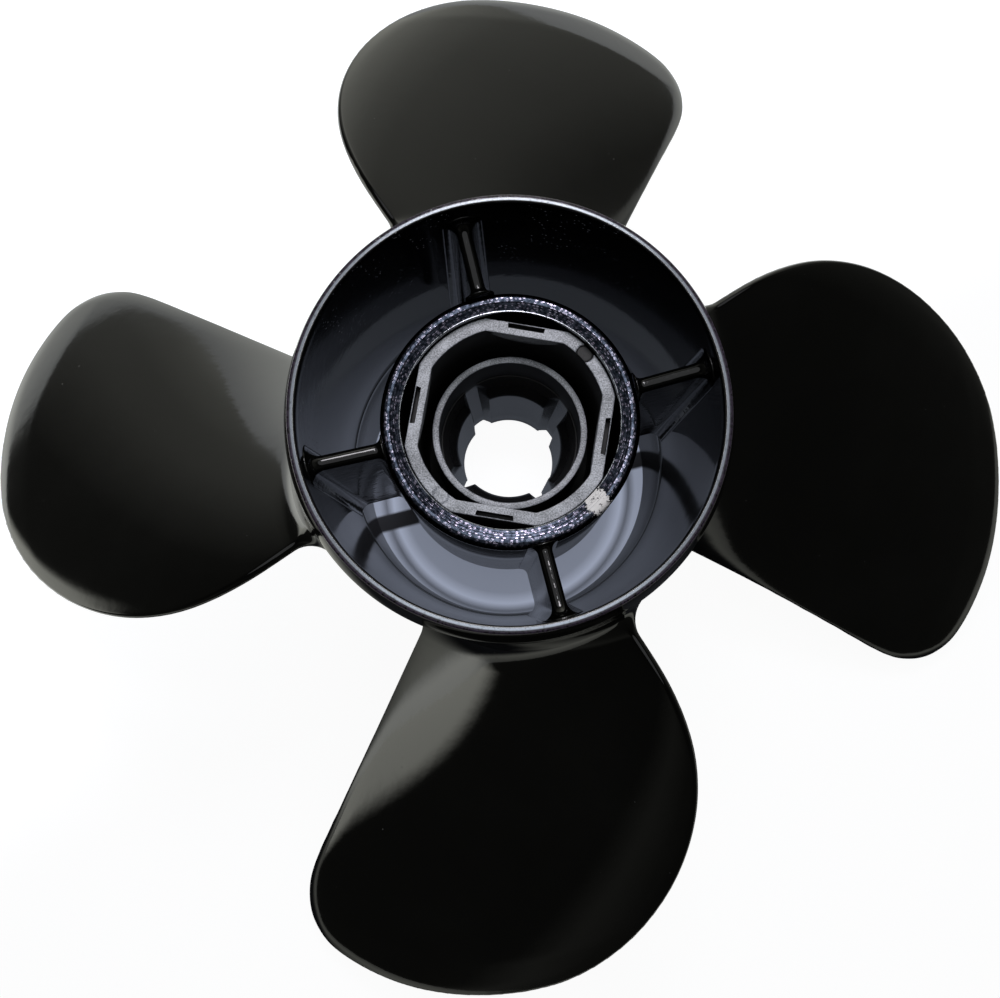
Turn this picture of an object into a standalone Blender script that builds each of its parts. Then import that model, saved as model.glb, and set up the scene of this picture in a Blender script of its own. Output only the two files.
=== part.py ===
"""A four-bladed, right-handed boat propeller with exhaust through its hub.

The axis is +Z and points forward, to the bow. The rear rim of the barrel rests on z = 0.
Depths are measured back from the front rim, as one would with a depth gauge, and up()
turns a depth into a height. Angles run clockwise from +Y, seen from the front, in degrees.
"""

import math

import bmesh
import bpy
import numpy as np
from mathutils import Matrix, Vector

MM = 0.001

# Barrel, the outer wall of the hub
BARREL_LENGTH = 145.0 * MM
RIM_INNER_RADIUS = 60.3 * MM
RIM_OUTER_RADIUS = 62.5 * MM
RIM_ROUNDING = 0.8 * MM
BARREL_WIDEST_RADIUS = 64.6 * MM
BARREL_WIDEST_DEPTH = 13.0 * MM
WAIST_RADIUS = 57.4 * MM
WAIST_DEPTH = 124.0 * MM
SEAM_DEPTH = 102.7 * MM
SEAM_INNER_RADIUS = 53.5 * MM
REAR_INNER_RADIUS = 51.2 * MM
REAR_OUTER_RADIUS = 59.2 * MM

# Inner hub, which carries the moulded insert
HUB_FACE_DEPTH = 18.4 * MM
HUB_FACE_THICKNESS = 3.6 * MM
HUB_BACK_DEPTH = 108.0 * MM
HUB_RADIUS = 38.2 * MM
HUB_BACK_RADIUS = 37.6 * MM
HUB_BORE_RADIUS = 32.2 * MM
HUB_FACE_CHAMFER = 1.9 * MM
SHOULDER_DEPTH = 100.0 * MM
SHOULDER_RADIUS = 27.0 * MM

# Ribs that carry the inner hub in the barrel
RIB_ANGLE = -14.6
RIB_FRONT_DEPTH = 12.0 * MM
RIB_BACK_DEPTH = 102.0 * MM
RIB_FRONT_THICKNESS = 4.4 * MM
RIB_BACK_THICKNESS = 7.0 * MM
RIB_SLANT = 0.16
RIB_FILLET = 3.5 * MM
RIB_NOSE_STEPS = 3

# Moulded insert: a frame that fills the hub's bore, with four flats
INSERT_ANGLE = 9.0
INSERT_DEPTH = 21.5 * MM
INSERT_RADIUS = 31.9 * MM
INSERT_FLAT = 29.4 * MM
INSERT_INNER_RADIUS = 28.2 * MM
INSERT_INNER_FLAT = 25.6 * MM
INSERT_FLOOR_THICKNESS = 6.0 * MM
POCKET_OVERCUT = 10.0 * MM

# Drive tube in the insert, with four lands in its bore
TUBE_DEPTH = 42.4 * MM
TUBE_BACK_DEPTH = 111.0 * MM
TUBE_RADIUS = 23.9 * MM
TUBE_INNER_RADIUS = 21.8 * MM
LAND_DEPTH = 61.0 * MM
LAND_FRONT_RADIUS = 17.0 * MM
LAND_BACK_RADIUS = 15.5 * MM
LAND_SPAN = 70.0
LAND_STEPS = 8

# Blades
BLADES = 4
BLADE_ANGLE = 6.0
PITCH = 507.0 * MM
BLADE_MIDDLE_DEPTH = 75.6 * MM
RAKE = 0.150
RAKE_GAIN = 1.96
HUB_REFERENCE_RADIUS = 62.7 * MM
STUB_RADIUS = 54.0 * MM
TIP_RADIUS = 179.4 * MM
ROOT_THICKNESS = 11.0 * MM
TIP_THICKNESS = 4.0 * MM
EDGE_THICKNESS = 2.4 * MM
EDGE_ROUNDING = 0.4
FRONT_SHARE = 0.65
SPAN_FULLNESS = 0.8
CHORD_FULLNESS = 0.75
TIP_FULLNESS = 0.7
TIP_TAPER = 0.12
ROOT_FILLET = 6.0 * MM
CUP_DEPTH = 1.6 * MM
CUP_WIDTH = 0.10

# The outline of one blade, from the root of its leading edge over the tip to the root of
# its trailing edge: radius in millimetres, angle from the blade's own middle line
OUTLINE = (
    (54, -35.8), (71, -36.9), (89, -37.4), (106, -36.3), (121, -33.8), (135.4, -30.0),
    (149.3, -25.0), (161.8, -19.0), (171.4, -12.1), (177.5, -3.3), (179.4, 4.9),
    (176.7, 12.6), (171.0, 16.45), (162.0, 18.7), (150.5, 19.6), (127.0, 19.6),
    (100, 19.5), (77, 19.5), (54, 19.5),
)
TIP_STARTS = 8.0
TIP_ENDS = 11.4

CLEARANCE = 0.3 * MM
OVERCUT = 5.0 * MM
BARREL_STATIONS = (0.6, 5.0, 13.0, 32.0, 55.0, 80.0)
REAR_STATIONS = (112.0, 124.0, 132.0, 139.0)
TURNED_SIDES = 64
TUBE_SIDES = 48
RIB_OVERLAP = 3.0 * MM
CHORD_CELLS = 12
CHORD_EDGE = 0.012
ROOT_SPANS = (0.0, 0.05, 0.075, 0.10, 0.13)
SPAN_CELLS = 12
TIP_SPAN = 0.985
SMOOTH_ANGLE = 35.0


def up(depth):
    """Height above the rear rim of a point that lies this deep behind the front rim."""
    return BARREL_LENGTH - depth


def around(radius, degrees, height=0.0):
    """A point by its radius and its clockwise angle from +Y."""
    turn = math.radians(degrees)
    return Vector((radius * math.sin(turn), radius * math.cos(turn), height))


def blend(low, high, share):
    return low + (high - low) * share


def ease(share):
    """A share from 0 to 1 that starts and ends level."""
    return share * share * (3.0 - 2.0 * share)


def fillet(distance, radius):
    """How far a quarter-round fillet stands out, at a distance from the face it runs into."""
    rest = 1.0 - min(max(distance / radius, 0.0), 1.0)
    return radius * (1.0 - math.sqrt(1.0 - rest ** 2))


def clear_scene():
    for item in list(bpy.data.objects):
        bpy.data.objects.remove(item, do_unlink=True)


def new_collection(name):
    group = bpy.data.collections.new(name)
    bpy.context.scene.collection.children.link(group)
    return group


def finish(name, colour, roughness, metallic):
    """A plain paint, metal or plastic for one kind of surface."""
    material = bpy.data.materials.new(name)
    material.use_nodes = True
    shader = material.node_tree.nodes["Principled BSDF"]
    shader.inputs["Base Color"].default_value = (*colour, 1.0)
    shader.inputs["Roughness"].default_value = roughness
    shader.inputs["Metallic"].default_value = metallic
    return material


def new_object(name, mesh, group, material=None):
    item = bpy.data.objects.new(name, mesh)
    group.objects.link(item)
    if material:
        mesh.materials.append(material)
    return item


def make_cutter(item):
    item.hide_render = True
    item.display_type = "WIRE"
    return item


def cut(item, cutter, operation="DIFFERENCE"):
    boolean = item.modifiers.new(operation.title(), "BOOLEAN")
    boolean.operation = operation
    boolean.solver = "EXACT"
    boolean.object = cutter


def shade(mesh):
    mesh.shade_smooth()
    mesh.set_sharp_from_angle(angle=math.radians(SMOOTH_ANGLE))


def turned(name, profile, group, material=None, sides=TURNED_SIDES, closed=True):
    """A solid of revolution from points of (radius, depth). A closed profile is a loop that
    starts at the top of its outer side and runs down it; an open one starts and ends on the
    axis."""
    mesh = bpy.data.meshes.new(name)
    count = len(profile)
    points = [(radius, 0.0, up(depth)) for radius, depth in profile]
    sides_of_profile = count if closed else count - 1
    mesh.from_pydata(points, [(i, (i + 1) % count) for i in range(sides_of_profile)], [])
    item = new_object(name, mesh, group, material)
    screw = item.modifiers.new("Turn", "SCREW")
    screw.axis = "Z"
    screw.angle = math.tau
    screw.steps = sides
    screw.render_steps = sides
    screw.use_merge_vertices = True
    screw.merge_threshold = 0.00001
    screw.use_smooth_shade = True
    return item


def loft(name, rings, group, material=None):
    """A closed solid through rings of points that all have the same count."""
    shape = bmesh.new()
    layers = [[shape.verts.new(point) for point in ring] for ring in rings]
    count = len(rings[0])
    for below, above in zip(layers, layers[1:]):
        for i in range(count):
            j = (i + 1) % count
            shape.faces.new((below[i], below[j], above[j], above[i]))
    shape.faces.new(layers[0][::-1])
    shape.faces.new(layers[-1])
    bmesh.ops.recalc_face_normals(shape, faces=shape.faces)
    mesh = bpy.data.meshes.new(name)
    shape.to_mesh(mesh)
    shape.free()
    shade(mesh)
    return new_object(name, mesh, group, material)


def barrel_outer(depth):
    """Radius of the barrel's outer face: a short curve behind the rim, a long taper to the
    waist and a small flare to the rear rim."""
    if depth < BARREL_WIDEST_DEPTH:
        share = 1.0 - depth / BARREL_WIDEST_DEPTH
        return blend(BARREL_WIDEST_RADIUS, RIM_OUTER_RADIUS, share ** 2)
    if depth < WAIST_DEPTH:
        share = (depth - BARREL_WIDEST_DEPTH) / (WAIST_DEPTH - BARREL_WIDEST_DEPTH)
        return blend(BARREL_WIDEST_RADIUS, WAIST_RADIUS, ease(share))
    share = (depth - WAIST_DEPTH) / (BARREL_LENGTH - WAIST_DEPTH)
    return blend(WAIST_RADIUS, REAR_OUTER_RADIUS, share ** 2)


def barrel_inner(depth):
    """Radius of the barrel's inner face, which narrows all the way to the rear rim."""
    if depth < SEAM_DEPTH:
        return blend(RIM_INNER_RADIUS, SEAM_INNER_RADIUS, depth / SEAM_DEPTH)
    share = (depth - SEAM_DEPTH) / (BARREL_LENGTH - SEAM_DEPTH)
    return blend(SEAM_INNER_RADIUS, REAR_INNER_RADIUS, share)


def hub_outer(depth):
    share = (depth - HUB_FACE_DEPTH) / (HUB_BACK_DEPTH - HUB_FACE_DEPTH)
    return blend(HUB_RADIUS, HUB_BACK_RADIUS, share)


def outer_face(depths):
    return [(barrel_outer(depth), depth) for depth in depths]


def build_barrel(group, material):
    """The barrel's wall in two pieces, which meet where the casting shows a fine seam."""
    front_depths = [depth * MM for depth in BARREL_STATIONS] + [SEAM_DEPTH]
    barrel = [(RIM_OUTER_RADIUS - RIM_ROUNDING / 2, 0.0)] + outer_face(front_depths) + [
        (SEAM_INNER_RADIUS, SEAM_DEPTH),
        (barrel_inner(RIM_ROUNDING), RIM_ROUNDING),
        (RIM_INNER_RADIUS + RIM_ROUNDING / 2, 0.0),
    ]
    turned("barrel", barrel, group, material)
    top = SEAM_DEPTH + CLEARANCE
    rear_depths = [top] + [depth * MM for depth in REAR_STATIONS] + [BARREL_LENGTH]
    ring = outer_face(rear_depths) + [
        (REAR_INNER_RADIUS, BARREL_LENGTH),
        (barrel_inner(top), top),
    ]
    turned("rear_ring", ring, group, material)


def build_hub(group, paint, bare):
    """The bare machined face ring and the painted hub behind it, with the shoulder that
    the insert rests on."""
    face_back = HUB_FACE_DEPTH + HUB_FACE_THICKNESS
    face = [
        (HUB_RADIUS - HUB_FACE_CHAMFER, HUB_FACE_DEPTH),
        (HUB_RADIUS, HUB_FACE_DEPTH + HUB_FACE_CHAMFER),
        (HUB_RADIUS, face_back),
        (HUB_BORE_RADIUS, face_back),
        (HUB_BORE_RADIUS, HUB_FACE_DEPTH),
    ]
    turned("hub_face", face, group, bare)
    front = face_back + CLEARANCE
    hub = [
        (hub_outer(front), front),
        (HUB_BACK_RADIUS, HUB_BACK_DEPTH),
        (SHOULDER_RADIUS, HUB_BACK_DEPTH),
        (SHOULDER_RADIUS, SHOULDER_DEPTH),
        (HUB_BORE_RADIUS, SHOULDER_DEPTH),
        (HUB_BORE_RADIUS, front),
    ]
    turned("inner_hub", hub, group, paint)


def passage_cutter(group):
    """The exhaust passage: the space between hub and barrel, held off both by the gap."""
    ends = (-OVERCUT, SEAM_DEPTH)
    outer = [(barrel_inner(depth) - CLEARANCE, depth) for depth in ends]
    inner = [(hub_outer(depth) + CLEARANCE, depth) for depth in reversed(ends)]
    return make_cutter(turned("passage", outer + inner, group))


def rib_outline(thickness, round_share, depth, slant):
    """The rib's outline at one depth. round_share is how much of the full width is left
    there, where the rib's edge is round; a slanted edge lies deeper toward the hub."""
    wall = barrel_inner(depth)
    radii = [HUB_RADIUS - RIB_OVERLAP]
    radii += [HUB_RADIUS + share * RIB_FILLET for share in (0.0, 0.3, 1.0)]
    radii += [wall - share * RIB_FILLET for share in (1.0, 0.3, 0.0)]
    radii.append(wall + RIB_OVERLAP)
    right = []
    left = []
    for radius in radii:
        corner = fillet(min(radius - HUB_RADIUS, wall - radius), RIB_FILLET)
        half = (thickness / 2 + corner) * round_share
        height = up(depth + slant * (wall - radius))
        right.append((half, radius, height))
        left.append((-half, radius, height))
    return right + left[::-1]


def build_ribs(group, cutters, material):
    """Four webs with round front and rear edges, from the hub to the barrel."""
    rings = []
    for thickness, edge, way, slant in (
        (RIB_BACK_THICKNESS, RIB_BACK_DEPTH, -1.0, 0.0),
        (RIB_FRONT_THICKNESS, RIB_FRONT_DEPTH, 1.0, RIB_SLANT),
    ):
        rounds = []
        for step in range(1, RIB_NOSE_STEPS + 1):
            turn = math.radians(90.0 * step / RIB_NOSE_STEPS)
            inward = thickness / 2 * (1.0 - math.cos(turn))
            rounds.append(rib_outline(thickness, math.sin(turn), edge + way * inward, slant))
        rings += rounds if way < 0 else rounds[::-1]
    first = loft("rib_1", rings, group, material)
    passage = passage_cutter(cutters)
    ribs = [first] + [new_object(f"rib_{i}", first.data, group) for i in (2, 3, 4)]
    for i, rib in enumerate(ribs):
        rib.rotation_euler.z = -math.radians(RIB_ANGLE + 90 * i)
        cut(rib, passage, "INTERSECT")


def squared_round(name, radius, flat, top, bottom, group, cutters, material=None):
    """A cylinder with four flats milled on it."""
    height = bottom - top
    shape = bmesh.new()
    bmesh.ops.create_cone(
        shape, cap_ends=True, segments=TURNED_SIDES, radius1=radius, radius2=radius, depth=height
    )
    mesh = bpy.data.meshes.new(name)
    shape.to_mesh(mesh)
    shape.free()
    shade(mesh)
    item = new_object(name, mesh, group, material)
    item.location.z = up(blend(top, bottom, 0.5))
    box = bmesh.new()
    bmesh.ops.create_cube(box, size=1.0)
    bmesh.ops.scale(box, vec=(2 * flat, 2 * flat, height + OVERCUT), verts=box.verts)
    turn = Matrix.Rotation(-math.radians(INSERT_ANGLE), 3, "Z")
    bmesh.ops.rotate(box, matrix=turn, verts=box.verts)
    flats = bpy.data.meshes.new(name + "_flats")
    box.to_mesh(flats)
    box.free()
    milling = make_cutter(new_object(name + "_flats", flats, cutters))
    milling.location = item.location
    cut(item, milling, "INTERSECT")
    return item


def build_insert(group, cutters, material):
    """The moulded frame in the hub's bore: four flats, a deep pocket and a floor."""
    bottom = SHOULDER_DEPTH - CLEARANCE
    floor = bottom - INSERT_FLOOR_THICKNESS
    frame = squared_round(
        "insert_frame", INSERT_RADIUS, INSERT_FLAT, INSERT_DEPTH, bottom, group, cutters, material
    )
    pocket = squared_round(
        "pocket", INSERT_INNER_RADIUS, INSERT_INNER_FLAT, INSERT_DEPTH - POCKET_OVERCUT, floor,
        cutters, cutters,
    )
    hole_radius = TUBE_RADIUS + CLEARANCE
    above = floor - OVERCUT
    below = bottom + OVERCUT
    outline = [(0.0, above), (hole_radius, above), (hole_radius, below), (0.0, below)]
    hole = turned("tube_hole", outline, cutters, closed=False)
    cut(frame, make_cutter(pocket))
    cut(frame, make_cutter(hole))


def build_drive_tube(group, material):
    tube = [
        (TUBE_RADIUS, TUBE_DEPTH),
        (TUBE_RADIUS, TUBE_BACK_DEPTH),
        (TUBE_INNER_RADIUS, TUBE_BACK_DEPTH),
        (TUBE_INNER_RADIUS, TUBE_DEPTH),
    ]
    turned("drive_tube", tube, group, material, TUBE_SIDES)


def land_ring(inner_radius, depth):
    """The outline of one land at a depth: an arc along the tube and one back along the bore."""
    outer_radius = TUBE_INNER_RADIUS - CLEARANCE
    outer_edge = []
    inner_edge = []
    for i in range(LAND_STEPS + 1):
        angle = LAND_SPAN * (i / LAND_STEPS - 0.5)
        outer_edge.append(around(outer_radius, angle, up(depth)))
        inner_edge.append(around(inner_radius, angle, up(depth)))
    return outer_edge + inner_edge[::-1]


def build_lands(group, material):
    rings = [land_ring(LAND_BACK_RADIUS, TUBE_BACK_DEPTH), land_ring(LAND_FRONT_RADIUS, LAND_DEPTH)]
    first = loft("bore_land_1", rings, group, material)
    lands = [first] + [new_object(f"bore_land_{i}", first.data, group) for i in (2, 3, 4)]
    for i, land in enumerate(lands):
        land.rotation_euler.z = -math.radians(INSERT_ANGLE + 90 * i)


def smooth_point(points, position):
    """A point on the smooth curve through all the points, position 0 at the first."""
    last = len(points) - 1
    index = min(int(position), last - 1)
    share = position - index
    before, start, end, after = (points[min(max(index + k, 0), last)] for k in (-1, 0, 1, 2))
    into = (end - before) / 2
    out = (after - start) / 2
    return (
        start * (2 * share ** 3 - 3 * share ** 2 + 1)
        + into * (share ** 3 - 2 * share ** 2 + share)
        + end * (3 * share ** 2 - 2 * share ** 3)
        + out * (share ** 3 - share ** 2)
    )


def outline_point(position):
    """Radius in metres and angle in degrees on the blade's outline."""
    points = [np.array(pair, float) for pair in OUTLINE]
    radius, angle = smooth_point(points, position)
    return np.array((radius * MM, angle))


def blade_place(chord, span):
    """Radius and angle of a point of the blade: chord 0 at the leading edge and 1 at the
    trailing edge, span 0 in the barrel and 1 at the tip."""
    last = len(OUTLINE) - 1
    leading = outline_point(TIP_STARTS * span)
    trailing = outline_point(last - (last - TIP_ENDS) * span)
    tip = outline_point(blend(TIP_STARTS, TIP_ENDS, chord))
    straight_tip = blend(outline_point(TIP_STARTS), outline_point(TIP_ENDS), chord)
    return blend(leading, trailing, chord) + (tip - straight_tip) * span


def blade_middle(radius, angle):
    """A point on the blade's helical middle surface, raked aft."""
    out = radius - HUB_REFERENCE_RADIUS
    depth = BLADE_MIDDLE_DEPTH + PITCH * angle / 360.0 + RAKE * out + RAKE_GAIN * out ** 2
    return around(radius, angle, up(depth))


def blade_normal(radius, angle):
    """The direction the middle surface faces, toward the front."""
    step = 0.1 * MM
    point = blade_middle(radius, angle)
    outward = blade_middle(radius + step, angle) - point
    along = blade_middle(radius, angle + math.degrees(step)) - point
    return along.cross(outward).normalized()


def blade_thickness(chord, span, radius):
    """Thick in the middle of the chord and at the root, thin at the edges and the tip."""
    reach = (radius - BARREL_WIDEST_RADIUS) / (TIP_RADIUS - BARREL_WIDEST_RADIUS)
    full = blend(ROOT_THICKNESS, TIP_THICKNESS, min(max(reach, 0.0), 1.0) ** SPAN_FULLNESS)
    bulge = (4.0 * chord * (1.0 - chord)) ** CHORD_FULLNESS
    toward_tip = min(1.0, (1.0 - span) / TIP_TAPER) ** TIP_FULLNESS
    return EDGE_THICKNESS + (full - EDGE_THICKNESS) * bulge * toward_tip


def blade_skin(chord, span, at_edge):
    """A point of the front skin and one of the back skin."""
    radius, angle = blade_place(chord, span)
    point = blade_middle(radius, angle)
    normal = blade_normal(radius, angle)
    thickness = blade_thickness(chord, span, radius)
    if at_edge:
        thickness *= EDGE_ROUNDING
    corner = fillet(radius - barrel_outer(BARREL_LENGTH - point.z), ROOT_FILLET)
    bend = max(0.0, 1.0 - (1.0 - chord) / CUP_WIDTH) ** 2 * min(1.0, 2.0 * span)
    point -= normal * CUP_DEPTH * bend
    front = point + normal * (thickness * FRONT_SHARE + corner)
    back = point - normal * (thickness * (1.0 - FRONT_SHARE) + corner)
    return front, back


def build_blade_mesh():
    """One blade as a front and a back skin, joined round their edge."""
    chords = [i / CHORD_CELLS for i in range(CHORD_CELLS + 1)]
    chords[1:1] = [CHORD_EDGE]
    chords[-1:-1] = [1.0 - CHORD_EDGE]
    spans = list(ROOT_SPANS)
    spans += [blend(ROOT_SPANS[-1], 1.0, i / SPAN_CELLS) for i in range(1, SPAN_CELLS)]
    spans += [TIP_SPAN, 1.0]
    last_i = len(chords) - 1
    last_j = len(spans) - 1
    shape = bmesh.new()
    front = {}
    back = {}
    for i, chord in enumerate(chords):
        for j, span in enumerate(spans):
            at_edge = i in (0, last_i) or j == last_j
            points = blade_skin(chord, span, at_edge)
            front[i, j], back[i, j] = (shape.verts.new(point) for point in points)
    for i in range(last_i):
        for j in range(last_j):
            for skin in (front, back):
                shape.faces.new((skin[i, j], skin[i + 1, j], skin[i + 1, j + 1], skin[i, j + 1]))
    for i in range(last_i):
        for j in (0, last_j):
            shape.faces.new((front[i, j], front[i + 1, j], back[i + 1, j], back[i, j]))
    for j in range(last_j):
        for i in (0, last_i):
            shape.faces.new((front[i, j], front[i, j + 1], back[i, j + 1], back[i, j]))
    bmesh.ops.recalc_face_normals(shape, faces=shape.faces)
    mesh = bpy.data.meshes.new("blade")
    shape.to_mesh(mesh)
    shape.free()
    shade(mesh)
    return mesh


def barrel_cutter(group):
    """The barrel's outer shape, a gap larger, as a solid that trims the blades' roots."""
    stations = BARREL_STATIONS + (SEAM_DEPTH / MM,) + REAR_STATIONS
    depths = [depth * MM for depth in stations] + [BARREL_LENGTH]
    rim = barrel_outer(depths[0]) + CLEARANCE
    profile = [(0.0, -OVERCUT), (rim, -OVERCUT)]
    profile += [(radius + CLEARANCE, depth) for radius, depth in outer_face(depths)]
    profile.append((0.0, BARREL_LENGTH))
    return make_cutter(turned("barrel_trim", profile, group, closed=False))


def build_blades(group, cutters, material):
    mesh = build_blade_mesh()
    mesh.materials.append(material)
    trim = barrel_cutter(cutters)
    for i in range(BLADES):
        blade = new_object(f"blade_{i + 1}", mesh, group)
        blade.rotation_euler.z = -math.radians(BLADE_ANGLE + 360 / BLADES * i)
        cut(blade, trim)


def build():
    clear_scene()
    propeller = new_collection("boat_propeller")
    cutters = new_collection("cutters")
    paint = finish("black_paint", (0.012, 0.012, 0.012), 0.18, 0.0)
    bare = finish("machined_face", (0.62, 0.63, 0.68), 0.35, 1.0)
    moulding = finish("insert_moulding", (0.16, 0.165, 0.17), 0.55, 0.0)
    dark_moulding = finish("tube_moulding", (0.03, 0.03, 0.032), 0.45, 0.0)
    build_barrel(propeller, paint)
    build_hub(propeller, paint, bare)
    build_ribs(propeller, cutters, paint)
    build_insert(propeller, cutters, moulding)
    build_drive_tube(propeller, moulding)
    build_lands(propeller, dark_moulding)
    build_blades(propeller, cutters, paint)


build()
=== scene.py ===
"""A four-bladed, right-handed boat propeller in gloss black, standing on its rear rim.

The axis is +Z and points forward, to the bow. Depths are measured back from the front rim,
and up() turns a depth into a height. Angles run clockwise from +Y, seen from the front.
"""

import math

import bmesh
import bpy
import numpy as np
from mathutils import Matrix, Vector


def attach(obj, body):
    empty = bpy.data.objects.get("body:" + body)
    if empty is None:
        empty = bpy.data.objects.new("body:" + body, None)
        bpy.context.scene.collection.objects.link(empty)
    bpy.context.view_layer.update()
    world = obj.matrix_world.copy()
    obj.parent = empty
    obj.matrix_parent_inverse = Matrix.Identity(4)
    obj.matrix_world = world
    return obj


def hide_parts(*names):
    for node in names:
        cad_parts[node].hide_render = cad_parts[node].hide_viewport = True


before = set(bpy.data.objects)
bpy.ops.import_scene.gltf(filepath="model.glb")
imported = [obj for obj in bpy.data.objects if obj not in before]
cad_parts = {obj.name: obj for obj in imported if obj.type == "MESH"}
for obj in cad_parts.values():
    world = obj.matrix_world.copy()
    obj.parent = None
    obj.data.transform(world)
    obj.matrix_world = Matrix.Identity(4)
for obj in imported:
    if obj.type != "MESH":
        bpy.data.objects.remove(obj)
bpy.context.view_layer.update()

MM = 0.001

# Sizes of the casting: radii, depths and lengths in millimetres, angles in degrees
BARREL_LENGTH = 145.0
RIM_INNER = 60.3
RIM_OUTER = 62.5
WIDEST = 64.6
WIDEST_DEPTH = 13.0
WAIST = 57.4
WAIST_DEPTH = 124.0
SEAM_DEPTH = 102.7
SEAM_INNER = 53.5
SEAM_STEP = 0.28
REAR_INNER = 51.2
REAR_OUTER = 59.2
RIM_CROWN = 60.85
RIM_DOME = 5.0
RING_STEP = 2.5
HUB_FACE_DEPTH = 18.4
HUB_FACE_THICKNESS = 3.6
HUB_BACK_DEPTH = 108.0
HUB = 38.2
HUB_BACK = 37.6
HUB_BORE = 32.2
HUB_CHAMFER = 1.9
SHOULDER_DEPTH = 100.0
SHOULDER = 27.0
WEB_ANGLE = -14.6
WEB_FRONT = 12.0
WEB_BACK = 102.0
WEB_FRONT_THICK = 4.4
WEB_BACK_THICK = 7.0
WEB_WALL_FILLET = 4.0
WEB_HUB_FILLET = 2.2
TOOL_PITCH = 0.8
TOOL_SLOPE = 0.14

# How much deeper a web's front edge gets with each millimetre toward the hub
WEB_SLANT = 0.16

# Place and size of the pale mark on the turned face
PALE_MARK = (25.2, -24.0)
PALE_MARK_SIZE = 7.6

# Sizes of the moulded insert; its slots lie between two shares of the way across its end face
INSERT_ANGLE = 9.0
INSERT_DEPTH = 21.5
INSERT = 31.9
INSERT_FLAT = 29.4
POCKET = 28.2
POCKET_FLAT = 25.6
CORNER_EASE = 0.134
INSERT_BOTTOM = SHOULDER_DEPTH - 0.3
INSERT_FLOOR = 6.0
LUG = 7.5
LUG_HALF_ANGLE = 28.0
SLOT_HALF_ANGLE = 10.8
SLOT_SHARES = (0.09, 0.46)
SLOT_DEPTH = 4.5
TUBE_DEPTH = 42.4
TUBE_BACK = 111.0
TUBE = 23.9
TUBE_BORE = 21.8
LAND_DEPTH = 61.0
LAND_FRONT = 17.0
LAND_BACK = 15.5
LAND_SPAN = 66.0
LAND_FOOT = 79.0
LEAD_IN = 9.0
NARROWS_FROM = 64.0
NARROWS_TO = 100.0
TUBE_BACK_BORE = 18.0

# The two ejector marks on the insert's end face: angle, size and how deep each is sunk
EJECTOR_PLACE = 30.0
EJECTOR_MARKS = ((47.0, 2.6, 0.5), (222.0, 2.3, -0.15))
EJECTOR_GROOVE = 0.35
EJECTOR_GROOVE_WIDTH = 0.22

# Sizes of a blade; the front skin bulges by more than half of the thickness
BLADE_ANGLE = 6.0
PITCH = 507.0
BLADE_MIDDLE_DEPTH = 75.6
RAKE = 0.150
RAKE_GAIN = 0.00196
RAKE_START = 62.7
TIP = 179.4
ROOT_THICK = 11.0
TIP_THICK = 4.0
FRONT_SHARE = 0.65
BELLY_FADE = 0.2
EDGE_ROUND = 1.2
EDGE_WIDTH = 0.8
ROOT_FILLET = 8.5
ROOT_SUNK = 1.6
FLARE_SHARE = 0.3
ROLL_WIDTH = 4.5
ROLL_DROP = 0.4
ROLL_STARTS = 0.45
ROLL_FULL = 0.75
CUP = 0.3
CUP_SHARE = 0.06

# A blade's edge as radius and angle: up the leading edge, round the tip, down the trailing edge
OUTLINE = np.array((
    (54, -35.8), (71, -36.9), (89, -37.4), (106, -36.3), (121, -33.8), (135.4, -30.0),
    (149.3, -25.0), (161.8, -19.0), (171.4, -12.1), (177.35, -3.3), (179.2, 4.9),
    (176.5, 12.6), (171.0, 16.45), (162.0, 18.7), (150.5, 19.6), (127.0, 19.6),
    (100, 19.5), (77, 19.5), (54, 19.5),
))

# Positions on that edge where the tip starts and ends
TIP_STARTS = 8.0
TIP_ENDS = 11.4

# Shares of a blade's width or length where its rows crowd toward a round edge
FINE = np.array((0.0, 0.0003, 0.0012, 0.0027, 0.0048, 0.0075, 0.011, 0.016, 0.024))


# Meshes

def up(depth):
    return BARREL_LENGTH - depth


def around(radius, degrees, height):
    """Points in metres from radius, clockwise angle from +Y and height in millimetres."""
    turn = np.radians(degrees)
    return np.stack(np.broadcast_arrays(
        radius * np.sin(turn), radius * np.cos(turn), height), -1) * MM


def blend(low, high, share):
    return low + (high - low) * share


def ease(share):
    share = np.clip(share, 0.0, 1.0)
    return share * share * (3.0 - 2.0 * share)


def fillet(distance, radius):
    """How far a quarter-round fillet stands out, at a distance from the face it runs into."""
    rest = 1.0 - np.clip(distance / radius, 0.0, 1.0)
    return radius * (1.0 - np.sqrt(1.0 - rest ** 2))


def skin(layers, points, closed=False):
    """Four-sided faces over closed layers of points; closed joins the last layer to the first."""
    rows = layers if closed else layers - 1
    i, j = np.meshgrid(np.arange(rows), np.arange(points), indexing="ij")
    k = (i + 1) % layers
    m = (j + 1) % points
    corners = (i * points + j, i * points + m, k * points + m, k * points + j)
    return np.stack(corners, -1).reshape(-1, 4).tolist()


def four_turns(angle):
    """Numbers 1 to 4, each with the matrix that turns points clockwise to its place."""
    for k in range(4):
        yield k + 1, np.array(Matrix.Rotation(math.radians(angle + 90 * k), 3, "Z"))


def piece(name, points, faces, finish, slot, *nodes, crease=None):
    """A piece of the propeller from points in metres, in place of the solids of the frame."""
    shape = bmesh.new()
    corners = [shape.verts.new(point) for point in points]
    for face in faces:
        shape.faces.new([corners[i] for i in face])
    bmesh.ops.recalc_face_normals(shape, faces=shape.faces)
    mesh = bpy.data.meshes.new(name)
    shape.to_mesh(mesh)
    shape.free()
    mesh.shade_smooth()
    if crease:
        mesh.set_sharp_from_angle(angle=math.radians(crease))
    mesh.materials.append(finish.material)
    item = bpy.data.objects.new(name, mesh)
    bpy.context.scene.collection.objects.link(item)
    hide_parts(*nodes)
    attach(item, "root")


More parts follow.
